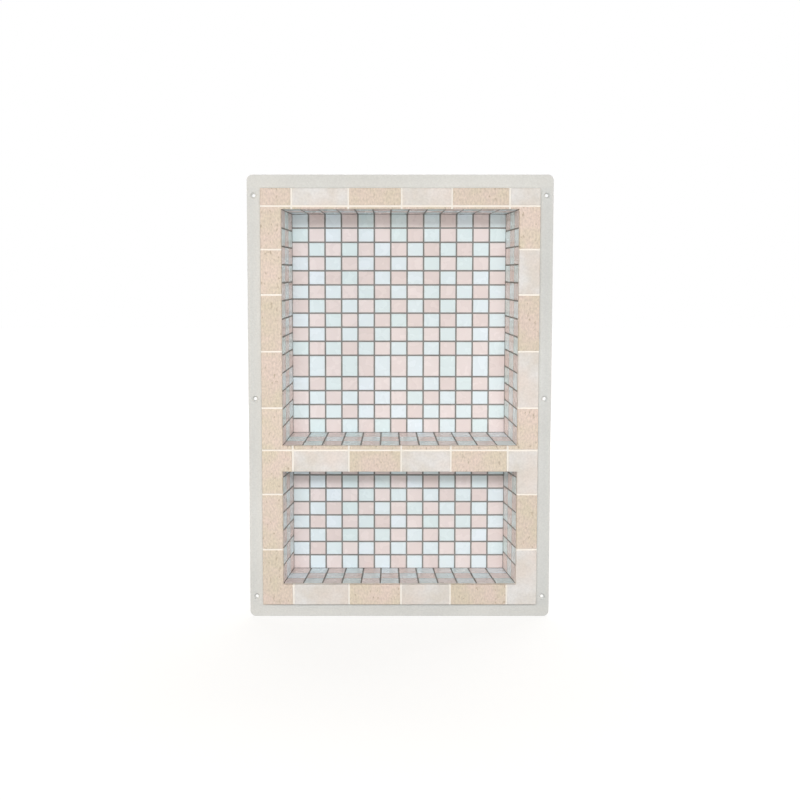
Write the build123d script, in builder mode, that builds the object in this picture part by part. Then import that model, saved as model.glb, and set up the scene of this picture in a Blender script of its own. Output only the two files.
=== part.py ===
from build123d import *
import os
from math import cos, radians, tan

# Recessed shower niche insert: a moulded shell with two tiled compartments.
# Millimetres, +Z up. The open face looks along -Y. Y = 0 is the back of the flange, where it
# bears on the wall studs, and X = Z = 0 is the centre of the screw pattern in the flange.

# Moulded shell, sizes of the bare moulding
opening_width = 355.6  # both compartments, measured at the front of the flange
upper_opening_height = 355.6
lower_opening_height = 180.0
divider_height = 27.0  # between the two bare openings
box_depth = 86.5  # from the back of the flange to the back of the boxes
wall = 4.0
flange_thickness = 4.0
fin_width = 20.0  # bare rim outside the tiled face, where the screws go
flange_corner_radius = 8.0
box_edge_radius = 6.0
side_draft = 6.5  # degrees, each side wall
upper_shelf_slope = 6.0  # degrees, so that water runs out
lower_shelf_slope = 1.5  # degrees
ceiling_draft = 1.0  # degrees
tie_rib_thickness = 3.0  # webs that tie the two boxes together behind the divider
tie_rib_depth = 60.0
tie_rib_spacing = 110.0

# Screws through the fin
screw_hole_diameter = 4.5
screw_head_diameter = 9.0
screw_end_distance = 30.0  # from the flange's top and bottom edges

# Mosaic lining: each course, column or row is a chip and a joint together
bed_thickness = 3.0
chip_thickness = 2.5
chip_joint = 2.0
corner_joint = 0.5  # where the chips of two walls meet, and at the mouth
back_column = 25.0
back_course = 21.6
tall_course = 32.9  # one course of the upper back wall is taller
tall_course_height = 86.4  # of its lower edge above the shelf, to the nearest whole course
lower_back_course = 21.0
side_course = 26.5
shelf_column = 28.7
depth_row = 27.0

# Tiled face on the flange and the divider
face_margin = 30.0  # from the finished opening to the outer edge of the tiles
face_bed = 2.0
face_tile_thickness = 7.0
face_joint = 2.6
face_joint_recess = 1.0
face_columns = (72.8, 83.5, 82.2, 76.9)  # widths of the tiles from left to right, repeated
face_courses = (62.3, 65.4, 82.4, 82.7)  # their heights from the top down, repeated and made to fit
first_column_start = 1.9  # joint to the right of the centre line
first_course_rise = 4.2  # joint above the finished upper opening

# Worked out from the sizes above
lining = bed_thickness + chip_thickness
box_back = box_depth - wall
finished_back = box_back - lining
flange_front = -flange_thickness
side_slant = radians(side_draft)
ceiling_slant = radians(ceiling_draft)
upper_shelf_slant = radians(upper_shelf_slope)
lower_shelf_slant = radians(lower_shelf_slope)
ceiling_lining = lining / cos(ceiling_slant)
lower_shelf_lining = lining / cos(lower_shelf_slant)

openings_height = upper_opening_height + divider_height + lower_opening_height
face_width = opening_width - 2 * lining / cos(side_slant) + 2 * face_margin
face_height = openings_height - ceiling_lining - lower_shelf_lining + 2 * face_margin
flange_width = face_width + 2 * fin_width
flange_height = face_height + 2 * fin_width
face_bed_front = flange_front - face_bed

upper_top = face_height / 2 - face_margin + ceiling_lining
upper_bottom = upper_top - upper_opening_height
lower_top = upper_bottom - divider_height
lower_bottom = lower_top - lower_opening_height
upper = (upper_bottom, upper_top, upper_shelf_slant)
lower = (lower_bottom, lower_top, lower_shelf_slant)
compartments = {"upper": upper, "lower": lower}


# Compartments: drafted boxes that all follow the bare openings


def plane_at(y):
    """Upright plane facing the front, with X to the right and Z up."""
    return Plane.XZ.offset(-y)


def section(compartment, inset, y):
    """Half width, floor and ceiling of a compartment at depth y, moved inwards by inset."""
    bottom, top, shelf_slant = compartment
    depth = y - flange_front
    half = opening_width / 2 - depth * tan(side_slant) - inset / cos(side_slant)
    floor = bottom + depth * tan(shelf_slant) + inset / cos(shelf_slant)
    ceiling = top - depth * tan(ceiling_slant) - inset / cos(ceiling_slant)
    return half, floor, ceiling


def corner_points(compartment, inset, y):
    """Corners of that section, round from the lower left."""
    half, floor, ceiling = section(compartment, inset, y)
    around = ((-half, floor), (half, floor), (half, ceiling), (-half, ceiling))
    return [Vector(x, y, z) for x, z in around]


def drafted_box(compartment, inset, back):
    """Solid with flat walls, from the front of the flange to back."""
    near = corner_points(compartment, inset, flange_front)
    far = corner_points(compartment, inset, back)
    walls = [(near[i - 1], near[i], far[i], far[i - 1]) for i in range(4)]
    return Solid(Shell([Face(Wire.make_polygon(corners)) for corners in (near, far, *walls)]))


# Mosaic: joint lines along the walls, and the outlines of the chips between them


def even_lines(length, pitch):
    """Joint lines of pieces that are made even to fill a length."""
    count = max(1, round(length / pitch))
    return [i * length / count for i in range(count + 1)]


def laid_lines(length, pitch, *first):
    """Joint lines of courses laid from one end: those given first, whole ones, then a cut one."""
    lines = [0.0]
    for course in first:
        lines.append(lines[-1] + course)
    narrowest_cut = 2 * chip_joint
    while length - lines[-1] > pitch + narrowest_cut:
        lines.append(lines[-1] + pitch)
    return lines + [length]


def open_spans(lines):
    """Spans between joint lines, less half a joint at each end."""
    spans = []
    for low, high in zip(lines, lines[1:]):
        low_joint = corner_joint if low == lines[0] else chip_joint
        high_joint = corner_joint if high == lines[-1] else chip_joint
        spans.append((low + low_joint / 2, high - high_joint / 2))
    return spans


def chip_outlines(corners, columns, courses, order, colour):
    """Chips of one colour on a four-cornered wall, in checker order, with their joints left open."""
    low_left, low_right, high_right, high_left = corners

    def on_wall(along, up):
        u, v = along / columns[-1], up / courses[-1]
        low = low_left + (low_right - low_left) * u
        high = high_left + (high_right - high_left) * u
        return low + (high - low) * v

    outlines = []
    for column, (left, right) in enumerate(open_spans(columns)):
        for place, (low, high) in zip(order, open_spans(courses)):
            if (column + place) % 2 == colour:
                ends = ((left, low), (right, low), (right, high), (left, high))
                outlines.append([on_wall(along, up) for along, up in ends])
    return outlines


def compartment_walls(name):
    """Corners, column lines, course lines and checker order of the five finished walls."""
    mouth = corner_points(compartments[name], lining, flange_front)
    back = corner_points(compartments[name], lining, finished_back)
    mouth_width = (mouth[1] - mouth[0]).length
    back_height = (back[3] - back[0]).length
    back_columns = even_lines((back[1] - back[0]).length, back_column)
    if name == "upper":
        first_courses = [back_course] * round(tall_course_height / back_course) + [tall_course]
        back_courses = laid_lines(back_height, back_course, *first_courses)
    else:
        back_courses = laid_lines(back_height, lower_back_course)
    side_courses = laid_lines((mouth[3] - mouth[0]).length, side_course)
    shelf_columns = even_lines(mouth_width, shelf_column)
    ceiling_columns = even_lines(mouth_width, mouth_width / (len(back_columns) - 1))
    depth_rows = even_lines(finished_back - flange_front, depth_row)

    back_order = list(range(len(back_courses) - 1))
    if name == "upper":
        back_order[-1] = back_order[-2]  # the top course repeats the one under it
    side_order = range(len(side_courses) - 1)
    depth_order = range(len(depth_rows) - 1)
    ceiling_order = [back_order[-1] + place for place in depth_order]
    return {
        "back": ((back[0], back[1], back[2], back[3]), back_columns, back_courses, back_order),
        "left": ((mouth[0], back[0], back[3], mouth[3]), depth_rows, side_courses, side_order),
        "right": ((back[1], mouth[1], mouth[2], back[2]), depth_rows, side_courses, side_order),
        "shelf": ((mouth[0], mouth[1], back[1], back[0]), shelf_columns, depth_rows, depth_order),
        "ceiling": ((back[3], back[2], mouth[2], mouth[3]), ceiling_columns, depth_rows, ceiling_order),
    }


# Tiled face: tiles of the repeated sizes, cut off at the edges of the face


def repeated_spans(sizes, low, high):
    """Numbered spans between joints that repeat both ways from zero, cut off at low and high."""
    narrowest_cut = 2 * face_joint
    number, start = 0, 0.0
    while start > low:
        number -= 1
        start -= sizes[number % len(sizes)]
    spans = []
    while start < high - narrowest_cut:
        end = start + sizes[number % len(sizes)]
        at_low = start < low
        at_high = end > high - narrowest_cut
        if end > low + narrowest_cut:
            spans.append((
                number,
                low if at_low else start + face_joint / 2,
                high if at_high else end - face_joint / 2,
            ))
        number += 1
        start = end
    return spans


def face_tiles():
    """Outline of each tile before the openings are cut, with True for a grey one."""
    columns = repeated_spans(
        face_columns, -face_width / 2 - first_column_start, face_width / 2 - first_column_start
    )
    first_joint = face_height / 2 - face_margin + first_course_rise
    below = first_joint + face_height / 2
    repeats = max(1, round(below / sum(face_courses)))
    stretch = below / (repeats * sum(face_courses))  # so that a whole tile ends at the bottom edge
    courses = repeated_spans(
        [height * stretch for height in face_courses], first_joint - face_height / 2, below
    )
    tiles = []
    for column, left, right in columns:
        for course, upper_edge, lower_edge in courses:
            centre = (
                first_column_start + (left + right) / 2,
                first_joint - (upper_edge + lower_edge) / 2,
            )
            grey = column % 2 == 0 and course % 2 == 1
            tiles.append((grey, centre, right - left, lower_edge - upper_edge))
    return tiles


def face_sketch(tiles):
    """Rectangles on the face, given as centre, width and height, with both openings cut out."""
    with BuildSketch(plane_at(face_bed_front)) as outline:
        for centre, width, height in tiles:
            with Locations(centre):
                Rectangle(width, height)
        for compartment in compartments.values():
            half, floor, ceiling = section(compartment, lining, flange_front)
            with Locations((0, (floor + ceiling) / 2)):
                Rectangle(2 * half, ceiling - floor, mode=Mode.SUBTRACT)
    return outline.sketch


def write(builder, name):
    builder.part.label = name
    export_step(builder.part, f"parts/{name}.step")


os.makedirs("parts", exist_ok=True)

# Moulded shell: flange, two drafted boxes, tie ribs behind the divider, countersunk screw holes
with BuildPart() as niche_shell:
    with BuildSketch(Plane.XZ):
        RectangleRounded(flange_width, flange_height, flange_corner_radius)
    extrude(amount=flange_thickness)
    for compartment in compartments.values():
        add(drafted_box(compartment, -wall, box_depth))
    box_edges = niche_shell.edges().filter_by(lambda e: e.bounding_box().max.Y > box_depth / 2)
    fillet(box_edges, box_edge_radius)
    for x in (-tie_rib_spacing, 0, tie_rib_spacing):
        with BuildSketch(Plane.YZ.offset(x)):
            ends = (0, tie_rib_depth)
            under = [(y, section(lower, -wall / 2, y)[2]) for y in ends]
            over = [(y, section(upper, -wall / 2, y)[1]) for y in ends]
            Polygon(under[0], under[1], over[1], over[0])
        extrude(amount=tie_rib_thickness / 2, both=True)
    for compartment in compartments.values():
        add(drafted_box(compartment, 0, box_back), mode=Mode.SUBTRACT)
    with Locations(plane_at(flange_front)):
        screw_columns = flange_width - fin_width
        screw_rows = flange_height / 2 - screw_end_distance
        with GridLocations(screw_columns, screw_rows, 2, 3):
            CounterSinkHole(screw_hole_diameter / 2, screw_head_diameter / 2, flange_thickness)
write(niche_shell, "niche_shell")

# Mortar bed: one tray against the inside of each box
for name, compartment in compartments.items():
    with BuildPart() as mortar_bed:
        add(drafted_box(compartment, 0, box_back))
        add(drafted_box(compartment, bed_thickness, box_back - bed_thickness), mode=Mode.SUBTRACT)
    write(mortar_bed, f"{name}_mortar_bed")

# Mosaic chips: separate pieces on the bed, one group for each wall and colour
for name in compartments:
    for wall_name, (corners, columns, courses, order) in compartment_walls(name).items():
        low_left, low_right, _, high_left = corners
        along = low_right - low_left
        wall_plane = Plane(low_left, x_dir=along, z_dir=along.cross(high_left - low_left))
        for number, colour in enumerate(("pink", "aqua")):
            with BuildPart() as chips:
                with BuildSketch(wall_plane):
                    outlines = chip_outlines(corners, columns, courses, order, number)
                    flat = [[wall_plane.to_local_coords(p) for p in outline] for outline in outlines]
                    add([Polygon(*points, mode=Mode.PRIVATE) for points in flat])
                extrude(amount=-chip_thickness)
            write(chips, f"{name}_{wall_name}_{colour}_chips")

# Face tiles: cut pieces in two colours, flush with the finished openings
tiles = face_tiles()
for grey, colour in enumerate(("beige", "grey")):
    with BuildPart() as tile_group:
        of_colour = [outline for is_grey, *outline in tiles if is_grey == grey]
        extrude(face_sketch(of_colour), face_tile_thickness)
    write(tile_group, f"face_tiles_{colour}")

# Face grout: a bed on the flange, with ribs that fill the joints to just under the tiles' faces
with BuildPart() as face_grout:
    whole_face = face_sketch([((0, 0), face_width, face_height)])
    extrude(whole_face, -face_bed)
    extrude(whole_face, face_tile_thickness - face_joint_recess)
    extrude(face_sketch([outline for _, *outline in tiles]), face_tile_thickness, mode=Mode.SUBTRACT)
write(face_grout, "face_grout")
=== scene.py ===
import math
import random

import bmesh
import bpy
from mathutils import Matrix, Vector


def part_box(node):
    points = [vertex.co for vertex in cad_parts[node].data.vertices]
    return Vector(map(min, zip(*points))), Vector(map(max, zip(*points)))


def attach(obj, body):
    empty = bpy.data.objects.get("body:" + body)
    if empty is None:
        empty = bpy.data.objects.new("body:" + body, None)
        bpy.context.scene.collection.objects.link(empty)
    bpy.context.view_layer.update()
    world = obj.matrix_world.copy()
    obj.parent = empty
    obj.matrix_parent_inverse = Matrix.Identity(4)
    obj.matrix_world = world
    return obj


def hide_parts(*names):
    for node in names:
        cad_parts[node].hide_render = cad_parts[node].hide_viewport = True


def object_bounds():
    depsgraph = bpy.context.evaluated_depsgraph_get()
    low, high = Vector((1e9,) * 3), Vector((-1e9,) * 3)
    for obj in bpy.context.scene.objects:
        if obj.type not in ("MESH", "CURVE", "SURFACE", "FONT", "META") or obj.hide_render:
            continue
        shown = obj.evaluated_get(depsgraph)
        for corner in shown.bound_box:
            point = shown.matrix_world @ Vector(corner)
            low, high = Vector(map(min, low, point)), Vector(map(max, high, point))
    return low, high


MM = 0.001

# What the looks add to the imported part
CHIP_EDGE = 0.7 * MM  # rounding of a pressed mosaic chip
TILE_EDGE = 0.7 * MM  # rounding of a face tile
MOULDED_EDGE = 0.8 * MM  # rounding of the shell's rim and ribs
EDGE_STEPS = 2  # flats that make up each rounding
GROUT_RISE = 2.1 * MM  # mosaic joints are filled to just under the faces of the chips

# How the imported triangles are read
MERGE_DISTANCE = 0.01 * MM  # corners that lie closer are one corner
FLAT_ANGLE = math.radians(0.5)  # triangles that meet flatter are one face
SHARP_ANGLE = math.radians(60)  # outward edges of the shell that turn by more are rounded
CREASE_ANGLE = math.radians(40)  # edges of the shell that turn by more are shaded as creases
BEDDED = -0.9  # a chip or tile face turned this far from the open side lies in the mortar
FACING = 0.99  # a chip or tile face turned this far to or from the open side is shaded flat

# The photograph's view, measured at the tiled face
VIEW_DISTANCE = 1600 * MM
FRAME_WIDTH = 1169 * MM
FRAME_CENTRE = Vector((0, -0.9 * MM))  # X and Z
EYE = Vector((-35 * MM, 160 * MM))  # X and Z
TILT = math.radians(4.5)  # looking down a little, so that the frame needs less shift

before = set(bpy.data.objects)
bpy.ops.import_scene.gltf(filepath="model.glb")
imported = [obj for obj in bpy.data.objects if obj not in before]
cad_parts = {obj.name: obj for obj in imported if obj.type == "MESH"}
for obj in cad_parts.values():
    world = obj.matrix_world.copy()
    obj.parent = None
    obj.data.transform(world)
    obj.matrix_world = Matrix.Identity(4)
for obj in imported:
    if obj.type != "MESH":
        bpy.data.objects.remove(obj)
cad_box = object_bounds()


# Materials

MIX_A, MIX_B, MIX_RESULT = 6, 7, 2  # a Mix node's sockets for colours


def linear(colour):
    """Linear RGBA of an sRGB hex value."""
    channels = [int(colour[i:i + 2], 16) / 255 for i in (1, 3, 5)]
    return [c / 12.92 if c <= 0.04045 else ((c + 0.055) / 1.055) ** 2.4 for c in channels] + [1.0]


def add_node(tree, kind, inputs=None, **settings):
    """Adds a node: settings are its properties, inputs are values or the outputs to link there."""
    node = tree.nodes.new("ShaderNode" + kind)
    for name, value in settings.items():
        setattr(node, name, value)
    for socket, value in (inputs or {}).items():
        if isinstance(value, bpy.types.NodeSocket):
            tree.links.new(value, node.inputs[socket])
        else:
            node.inputs[socket].default_value = value
    return node


def new_material(name):
    """An empty material: its node tree, and where its surface is in the piece."""
    material = bpy.data.materials.new(name)
    material.use_nodes = True
    tree = material.node_tree
    tree.nodes.clear()
    place = add_node(tree, "TexCoord").outputs["Object"]
    return material, tree, place


def finish_material(tree, **inputs):
    """Ends a material in a surface shader, whose inputs are named with _ for a space."""
    named = {name.replace("_", " "): value for name, value in inputs.items()}
    shader = add_node(tree, "BsdfPrincipled", named)
    add_node(tree, "OutputMaterial", {"Surface": shader.outputs[0]})


def glazed_ceramic(name, deep, pale):
    """Glazed ceramic mosaic, pressed chips under a satin glaze: clean soft reflections with a faint
    orange peel, faint clouds where the glaze pools, and each chip a shade apart from the next."""
    pool_width = 20 * MM
    peel_width = 3 * MM
    material, tree, place = new_material(name)
    tone = add_node(tree, "Attribute", attribute_name="tone").outputs["Fac"]
    cloud = add_node(
        tree, "TexNoise", {"Vector": place, "Scale": 1 / pool_width, "Detail": 2.0}
    ).outputs["Fac"]
    pool = add_node(tree, "MapRange", {"Value": cloud, "To Min": 0.3, "To Max": 0.7}).outputs[0]
    shade = add_node(tree, "Math", {0: tone, 1: pool, 2: 0.1}, operation="MULTIPLY_ADD").outputs[0]
    colour = add_node(
        tree, "Mix", {"Factor": shade, MIX_A: linear(deep), MIX_B: linear(pale)}, data_type="RGBA"
    ).outputs[MIX_RESULT]
    peel = add_node(
        tree, "TexNoise", {"Vector": place, "Scale": 1 / peel_width, "Detail": 1.0}
    ).outputs["Fac"]
    bump = add_node(tree, "Bump", {"Height": peel, "Strength": 0.05, "Distance": 0.1 * MM}).outputs[0]
    gloss = add_node(tree, "MapRange", {"Value": cloud, "To Min": 0.22, "To Max": 0.32}).outputs[0]
    finish_material(tree, Base_Color=colour, Roughness=gloss, IOR=1.52, Normal=bump)
    return material


def cement_grout(name, dark, pale):
    """Cement grout, sponged off while wet: dead matt, gritty with sand, and blotched where it dried.
    Real sand is about 0.4 mm, and it is drawn at 0.9 mm so that it shows close up."""
    sand_width = 0.9 * MM
    blotch_width = 40 * MM
    material, tree, place = new_material(name)
    sand = add_node(
        tree, "TexNoise", {"Vector": place, "Scale": 1 / sand_width, "Detail": 4.0}
    ).outputs["Fac"]
    blotch = add_node(
        tree, "TexNoise", {"Vector": place, "Scale": 1 / blotch_width, "Detail": 2.0}
    ).outputs["Fac"]
    both = add_node(tree, "Math", {0: sand, 1: blotch}, operation="ADD").outputs[0]
    shade = add_node(tree, "MapRange", {"Value": both, "From Min": 0.6, "From Max": 1.4}).outputs[0]
    colour = add_node(
        tree, "Mix", {"Factor": shade, MIX_A: linear(dark), MIX_B: linear(pale)}, data_type="RGBA"
    ).outputs[MIX_RESULT]
    bump = add_node(tree, "Bump", {"Height": sand, "Strength": 0.5, "Distance": 0.3 * MM}).outputs[0]
    finish_material(tree, Base_Color=colour, Roughness=0.92, IOR=1.5, Normal=bump)
    return material


def sandy_porcelain(name):
    """Porcelain with a printed sandstone face, fired matt: warm beige drawn out in short upright grains,
    with scattered grey-brown pits and slow drifts between pinkish and greenish sand."""
    drift_width = 32 * MM
    grain_width = 2.6 * MM
    pit_width = 4.5 * MM
    grain_stretch = (1.0, 1.0, 0.6)
    material, tree, place = new_material(name)
    slow = add_node(
        tree, "TexNoise", {"Vector": place, "Scale": 1 / drift_width, "Detail": 2.0}
    ).outputs["Fac"]
    drift = add_node(tree, "MapRange", {"Value": slow, "From Min": 0.35, "From Max": 0.65}).outputs[0]
    sand = add_node(
        tree,
        "Mix",
        {"Factor": drift, MIX_A: linear("#D9CFBD"), MIX_B: linear("#E0D0C6")},
        data_type="RGBA",
    ).outputs[MIX_RESULT]
    upright = add_node(tree, "Mapping", {"Vector": place, "Scale": grain_stretch}).outputs[0]
    grains = add_node(
        tree, "TexNoise", {"Vector": upright, "Scale": 1 / grain_width, "Detail": 3.0}
    ).outputs["Fac"]
    light = add_node(
        tree,
        "MapRange",
        {"Value": grains, "From Min": 0.35, "From Max": 0.65, "To Min": 0.87, "To Max": 1.08},
    ).outputs[0]
    tone = add_node(tree, "Attribute", attribute_name="tone").outputs["Fac"]
    batch = add_node(tree, "MapRange", {"Value": tone, "To Min": 0.97, "To Max": 1.02}).outputs[0]
    level = add_node(tree, "Math", {0: light, 1: batch}, operation="MULTIPLY").outputs[0]
    grained = add_node(tree, "VectorMath", {0: sand, "Scale": level}, operation="SCALE").outputs[0]
    pits = add_node(
        tree, "TexNoise", {"Vector": upright, "Scale": 1 / pit_width, "Detail": 2.0}
    ).outputs["Fac"]
    pitted = add_node(tree, "MapRange", {"Value": pits, "From Min": 0.63, "From Max": 0.72}).outputs[0]
    colour = add_node(
        tree, "Mix", {"Factor": pitted, MIX_A: grained, MIX_B: linear("#B9AB99")}, data_type="RGBA"
    ).outputs[MIX_RESULT]
    bump = add_node(tree, "Bump", {"Height": grains, "Strength": 0.25, "Distance": 0.2 * MM}).outputs[0]
    finish_material(tree, Base_Color=colour, Roughness=0.62, IOR=1.5, Normal=bump)
    return material


def cloudy_porcelain(name):
    """Porcelain with a printed limestone face, fired matt: off-white with soft clouds of grey, a rose
    blush that comes and goes, and a fine chalky speckle."""
    cloud_width = 30 * MM
    blush_width = 55 * MM
    speckle_width = 3 * MM
    material, tree, place = new_material(name)
    clouds = add_node(
        tree, "TexNoise", {"Vector": place, "Scale": 1 / cloud_width, "Detail": 4.0}
    ).outputs["Fac"]
    spread = add_node(tree, "MapRange", {"Value": clouds, "From Min": 0.35, "From Max": 0.65}).outputs[0]
    stone = add_node(
        tree,
        "Mix",
        {"Factor": spread, MIX_A: linear("#D8D4CE"), MIX_B: linear("#E2E2E2")},
        data_type="RGBA",
    ).outputs[MIX_RESULT]
    blush = add_node(
        tree, "TexNoise", {"Vector": place, "Scale": 1 / blush_width, "Detail": 2.0}
    ).outputs["Fac"]
    rose = add_node(
        tree, "MapRange", {"Value": blush, "From Min": 0.45, "From Max": 0.7, "To Max": 0.7}
    ).outputs[0]
    blushed = add_node(
        tree, "Mix", {"Factor": rose, MIX_A: stone, MIX_B: linear("#E3D8D1")}, data_type="RGBA"
    ).outputs[MIX_RESULT]
    speckle = add_node(
        tree, "TexNoise", {"Vector": place, "Scale": 1 / speckle_width, "Detail": 4.0}
    ).outputs["Fac"]
    level = add_node(
        tree,
        "MapRange",
        {"Value": speckle, "From Min": 0.3, "From Max": 0.7, "To Min": 0.93, "To Max": 1.05},
    ).outputs[0]
    colour = add_node(tree, "VectorMath", {0: blushed, "Scale": level}, operation="SCALE").outputs[0]
    bump = add_node(tree, "Bump", {"Height": speckle, "Strength": 0.15, "Distance": 0.2 * MM}).outputs[0]
    finish_material(tree, Base_Color=colour, Roughness=0.6, IOR=1.5, Normal=bump)
    return material


def moulded_abs(name):
    """Moulded ABS, from a spark-eroded tool: pale grey and even, with a fine matt grain that breaks up
    the light. The real grain of about 0.2 mm is drawn at 2.4 mm so that it shows."""
    grain_width = 2.4 * MM
    flow_width = 120 * MM
    material, tree, place = new_material(name)
    grain = add_node(
        tree, "TexNoise", {"Vector": place, "Scale": 1 / grain_width, "Detail": 3.0}
    ).outputs["Fac"]
    flow = add_node(
        tree, "TexNoise", {"Vector": place, "Scale": 1 / flow_width, "Detail": 2.0}
    ).outputs["Fac"]
    both = add_node(tree, "Math", {0: grain, 1: flow}, operation="ADD").outputs[0]
    shade = add_node(tree, "MapRange", {"Value": both, "From Min": 0.6, "From Max": 1.4}).outputs[0]
    colour = add_node(
        tree,
        "Mix",
        {"Factor": shade, MIX_A: linear("#CBCDCB"), MIX_B: linear("#DCDEDC")},
        data_type="RGBA",
    ).outputs[MIX_RESULT]
    gloss = add_node(tree, "MapRange", {"Value": grain, "To Min": 0.45, "To Max": 0.65}).outputs[0]
    bump = add_node(tree, "Bump", {"Height": grain, "Strength": 0.5, "Distance": 0.3 * MM}).outputs[0]
    finish_material(tree, Base_Color=colour, Roughness=gloss, IOR=1.53, Normal=bump)
    return material


pink_glaze = glazed_ceramic("pink satin glaze", "#DED0CD", "#EEE5E5")
aqua_glaze = glazed_ceramic("aqua satin glaze", "#D8E8E9", "#E9F0FB")
mosaic_grout = cement_grout("grey cement grout", "#757573", "#979794")
face_grout = cement_grout("white cement grout", "#EFEAE2", "#F7F5F0")
beige_tile = sandy_porcelain("beige sandy porcelain")
grey_tile = cloudy_porcelain("off-white cloudy porcelain")
shell_plastic = moulded_abs("pale grey moulded ABS")


# Pieces

COMPARTMENTS = ("upper", "lower")
TO_THE_ROOM = Vector((0, -1, 0))
WALL_FACES = {
    "back": TO_THE_ROOM,
    "left": Vector((1, 0, 0)),
    "right": Vector((-1, 0, 0)),
    "shelf": Vector((0, 0, 1)),
    "ceiling": Vector((0, 0, -1)),
}


def merged_copy(node):
    """A node's surface with its loose triangles joined into whole flat faces."""
    surface = bmesh.new()
    surface.from_mesh(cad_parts[node].data)
    bmesh.ops.remove_doubles(surface, verts=surface.verts, dist=MERGE_DISTANCE)
    bmesh.ops.dissolve_limit(
        surface, angle_limit=FLAT_ANGLE, verts=surface.verts, edges=surface.edges
    )
    return surface


def give_tones(surface, seed):
    """Gives every separate chip or tile of a surface its own tone from 0 to 1."""
    tone = surface.faces.layers.float.new("tone")
    draw = random.Random(seed)
    toned = set()
    for first in surface.faces:
        if first in toned:
            continue
        value = draw.random()
        toned.add(first)
        spreading = [first]
        while spreading:
            face = spreading.pop()
            face[tone] = value
            near = {f for edge in face.edges for f in edge.link_faces} - toned
            toned |= near
            spreading += near


def round_edges(surface, edges, radius):
    """Rounds some edges of a surface."""
    bmesh.ops.bevel(
        surface,
        geom=edges,
        offset=radius,
        affect="EDGES",
        segments=EDGE_STEPS,
        profile=0.5,
        material=-1,
    )


def round_laid(surface, outward, radius):
    """Rounds every edge of chips or tiles except those of the bedded side."""
    edges = [e for e in surface.edges if all(f.normal.dot(outward) > BEDDED for f in e.link_faces)]
    round_edges(surface, edges, radius)
    for face in surface.faces:
        face.smooth = abs(face.normal.dot(outward)) < FACING


def place_piece(name, surface, material, node):
    """Puts a surface in the scene as a piece of the insert that stands for a node."""
    mesh = bpy.data.meshes.new(name)
    surface.to_mesh(mesh)
    surface.free()
    mesh.materials.append(material)
    piece = bpy.data.objects.new(name, mesh)
    bpy.context.scene.collection.objects.link(piece)
    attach(piece, "root")
    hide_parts(node)
    return piece


# Mosaic chips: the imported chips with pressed, rounded edges and a tone for each
for compartment in COMPARTMENTS:
    for wall, outward in WALL_FACES.items():
        for colour, glaze in (("pink", pink_glaze), ("aqua", aqua_glaze)):
            group = f"{compartment}_{wall}_{colour}"
            chips = merged_copy(f"{group}_chips")
            give_tones(chips, group)
            round_laid(chips, outward, CHIP_EDGE)
            place_piece(f"{group}_mosaic", chips, glaze, f"{group}_chips")

# Mosaic grout: the mortar bed, with its inner walls raised between the chips
for compartment in COMPARTMENTS:
    node = f"{compartment}_mortar_bed"
    low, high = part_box(node)
    bed = merged_copy(node)
    middle = (low + high) / 2
    inside = [f for f in bed.faces if f.normal.dot(middle - f.calc_center_median()) > 0]
    bmesh.ops.inset_region(bed, faces=inside, thickness=0, depth=GROUT_RISE, use_even_offset=True)
    place_piece(f"{compartment}_mosaic_grout", bed, mosaic_grout, node)

# Face tiles: cut tiles with a fine rounded arris
for colour, porcelain in (("beige", beige_tile), ("grey", grey_tile)):
    node = f"face_tiles_{colour}"
    tiles = merged_copy(node)
    give_tones(tiles, node)
    round_laid(tiles, TO_THE_ROOM, TILE_EDGE)
    place_piece(f"face_{colour}_tiling", tiles, porcelain, node)

# Moulded shell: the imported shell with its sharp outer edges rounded, as they leave the mould
shell = merged_copy("niche_shell")
sharp = [e for e in shell.edges if e.calc_face_angle_signed(0) > SHARP_ANGLE]
round_edges(shell, sharp, MOULDED_EDGE)
for face in shell.faces:
    face.smooth = True
for edge in shell.edges:
    edge.smooth = edge.calc_face_angle(0) < CREASE_ANGLE
moulding = place_piece("moulded_shell", shell, shell_plastic, "niche_shell")
even = moulding.modifiers.new("flat faces stay flat", "WEIGHTED_NORMAL")
even.keep_sharp = True

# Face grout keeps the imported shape
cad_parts["face_grout"].material_slots[0].material = face_grout


# Stage

FLOOR_REACH = 12.0  # from the middle to each side
GLOW_START, GLOW_END = 0.5, 2.2  # how far off the floor's glow starts to grow, and is full
NEAR_GLOW, FAR_GLOW = 0.8, 1.0  # strength of the glow there
MIDDLE = (0, 0, 0)
LEVEL = math.radians(90)  # turns a camera, which starts out looking straight down, to the horizon


def seen_directly(tree):
    """1 for camera, glossy and transmission rays, which see a white background, and 0 for the rest."""
    rays = add_node(tree, "LightPath").outputs
    either = add_node(
        tree, "Math", {0: rays["Is Camera Ray"], 1: rays["Is Glossy Ray"]}, operation="MAXIMUM"
    ).outputs[0]
    return add_node(
        tree, "Math", {0: either, 1: rays["Is Transmission Ray"]}, operation="MAXIMUM"
    ).outputs[0]


def pale_floor(name):
    """Pale matt floor that looks white to the eye, most of all far off, and still takes a shadow near
    the insert."""
    material, tree, place = new_material(name)
    matt = add_node(tree, "BsdfDiffuse", {"Color": linear("#8A8A88")}).outputs[0]
    away = add_node(tree, "VectorMath", {0: place}, operation="LENGTH").outputs["Value"]
    white = add_node(
        tree,
        "MapRange",
        {
            "Value": away,
            "From Min": GLOW_START,
            "From Max": GLOW_END,
            "To Min": NEAR_GLOW,
            "To Max": FAR_GLOW,
        },
    ).outputs[0]
    lift = add_node(tree, "Math", {0: seen_directly(tree), 1: white}, operation="MULTIPLY").outputs[0]
    glow = add_node(tree, "Emission", {"Color": linear("#FFFFFF"), "Strength": lift}).outputs[0]
    both = add_node(tree, "AddShader", {0: matt, 1: glow}).outputs[0]
    add_node(tree, "OutputMaterial", {"Surface": both})
    return material


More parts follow.
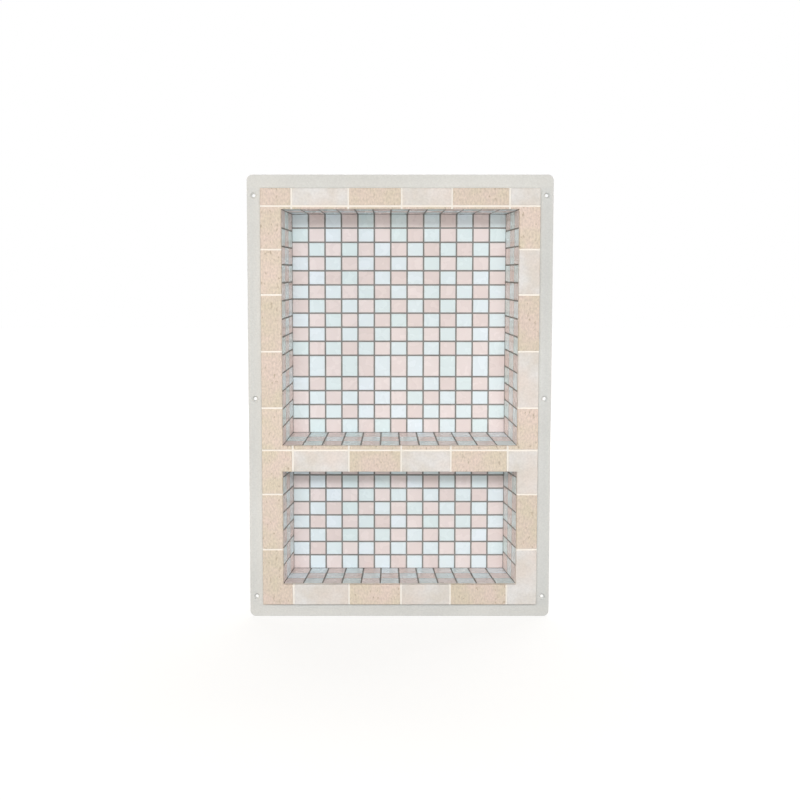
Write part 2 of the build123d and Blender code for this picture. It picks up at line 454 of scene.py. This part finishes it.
def add_light(name, place, width, height, power, colour, aim=MIDDLE, in_gloss=False):
    """A soft rectangular lamp turned towards a point, which the insert's glossy faces mirror or not."""
    lamp = bpy.data.lights.new(name, "AREA")
    lamp.shape = "RECTANGLE"
    lamp.size = width
    lamp.size_y = height
    lamp.energy = power
    lamp.color = linear(colour)[:3]
    holder = bpy.data.objects.new(name, lamp)
    holder.location = place
    holder.rotation_euler = (Vector(aim) - Vector(place)).to_track_quat("-Z", "Y").to_euler()
    holder.visible_glossy = in_gloss
    bpy.context.scene.collection.objects.link(holder)


# Floor: a wide square that the insert's lower edge stands on
floor_mesh = bpy.data.meshes.new("floor")
floor_surface = bmesh.new()
bmesh.ops.create_grid(floor_surface, x_segments=1, y_segments=1, size=FLOOR_REACH)
bmesh.ops.translate(floor_surface, verts=floor_surface.verts, vec=(0, 0, cad_box[0][2]))
floor_surface.to_mesh(floor_mesh)
floor_surface.free()
floor_mesh.materials.append(pale_floor("pale floor"))
floor = bpy.data.objects.new("floor", floor_mesh)
bpy.context.scene.collection.objects.link(floor)

# World: white to look at, and a low, slightly warm fill on the insert
world = bpy.data.worlds.new("studio")
world.use_nodes = True
studio = world.node_tree
studio.nodes.clear()
around = add_node(
    studio,
    "Mix",
    {"Factor": seen_directly(studio), MIX_A: linear("#847B6E"), MIX_B: linear("#FFFFFF")},
    data_type="RGBA",
).outputs[MIX_RESULT]
sky = add_node(studio, "Background", {"Color": around, "Strength": 1.0}).outputs[0]
add_node(studio, "OutputWorld", {"Surface": sky})
bpy.context.scene.world = world

# Lamps: a key in front and above, which leaves a band of shade under each lintel and is turned down so
# that the lower half gets nearly as much light as the upper, a wide one in front that lifts that shade,
# one at each side for the side walls, the right one weaker, and one behind for the moulding
add_light(
    "key",
    place=(-0.12, -2.7, 0.85),
    aim=(-0.12, -2.05, -0.3),
    width=1.84,
    height=0.44,
    power=55.5,
    colour="#F8FBFF",
)
add_light("front", place=(0, -2.6, -0.08), width=2.4, height=0.45, power=19.6, colour="#F8FBFF")
add_light("left", place=(-2.2, -1.1, 0.2), width=0.8, height=0.8, power=14, colour="#FFE4C4")
add_light("right", place=(2.2, -1.1, 0.2), width=0.8, height=0.8, power=8.5, colour="#FFE4C4")
add_light(
    "back", place=(0.4, 2.2, 1.2), width=4.6, height=1.0, power=80, colour="#FFFFFF", in_gloss=True
)

# Camera: at the eye, with the lens and shift that put the frame's centre and width in the picture
camera = bpy.data.objects.new("camera", bpy.data.cameras.new("camera"))
drop = EYE.y - FRAME_CENTRE.y  # from the eye down to the frame's centre
depth = VIEW_DISTANCE * math.cos(TILT) + drop * math.sin(TILT)  # to that centre, along the view
camera.data.lens = camera.data.sensor_width * depth / FRAME_WIDTH
camera.data.shift_x = (FRAME_CENTRE.x - EYE.x) / FRAME_WIDTH
camera.data.shift_y = (VIEW_DISTANCE * math.sin(TILT) - drop * math.cos(TILT)) / FRAME_WIDTH
camera.location = (EYE.x, cad_box[0][1] - VIEW_DISTANCE, EYE.y)
camera.rotation_euler = (LEVEL - TILT, 0, 0)
bpy.context.scene.collection.objects.link(camera)
bpy.context.scene.camera = camera
bpy.context.scene.view_settings.view_transform = "Standard"
